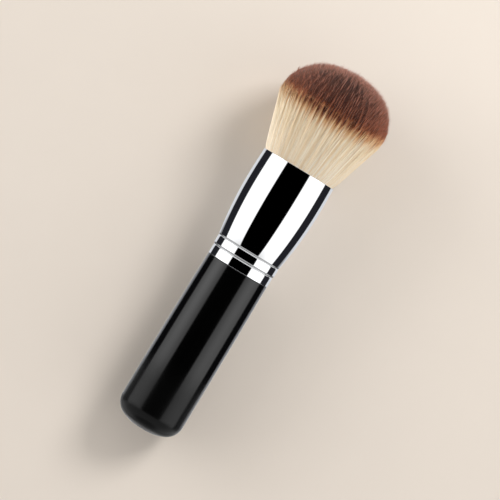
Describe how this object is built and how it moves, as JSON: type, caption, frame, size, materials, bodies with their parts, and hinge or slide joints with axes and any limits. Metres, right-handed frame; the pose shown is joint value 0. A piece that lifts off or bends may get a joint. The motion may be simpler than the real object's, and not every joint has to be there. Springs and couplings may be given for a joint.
{
  "type": "kabuki makeup brush",
  "caption": "Short stout face powder brush: a black lacquered handle, a bright crimped ferrule and a dense domed head of cream fibres with brown tips.",
  "frame": {"origin": "centre of the flat foot under the handle's butt", "axes": "+Z along the brush's axis, from the foot through the ferrule to the crown of the head; the brush is round, so X and Y are free"},
  "size_m": [0.0338, 0.0338, 0.1196],
  "materials": {
    "black_lacquer": "gloss",
    "bright_metal": "polished",
    "glue": "gloss",
    "resin": "gloss",
    "thread": "matte",
    "fibre": "matte"
  },
  "bodies": {
    "root": {"handle": "black_lacquer", "ferrule": "bright_metal", "tenon_glue": "glue", "resin_plug": "resin", "binding_thread": "thread", "bristle_bundle": "fibre"}
  },
  "joints": []
}
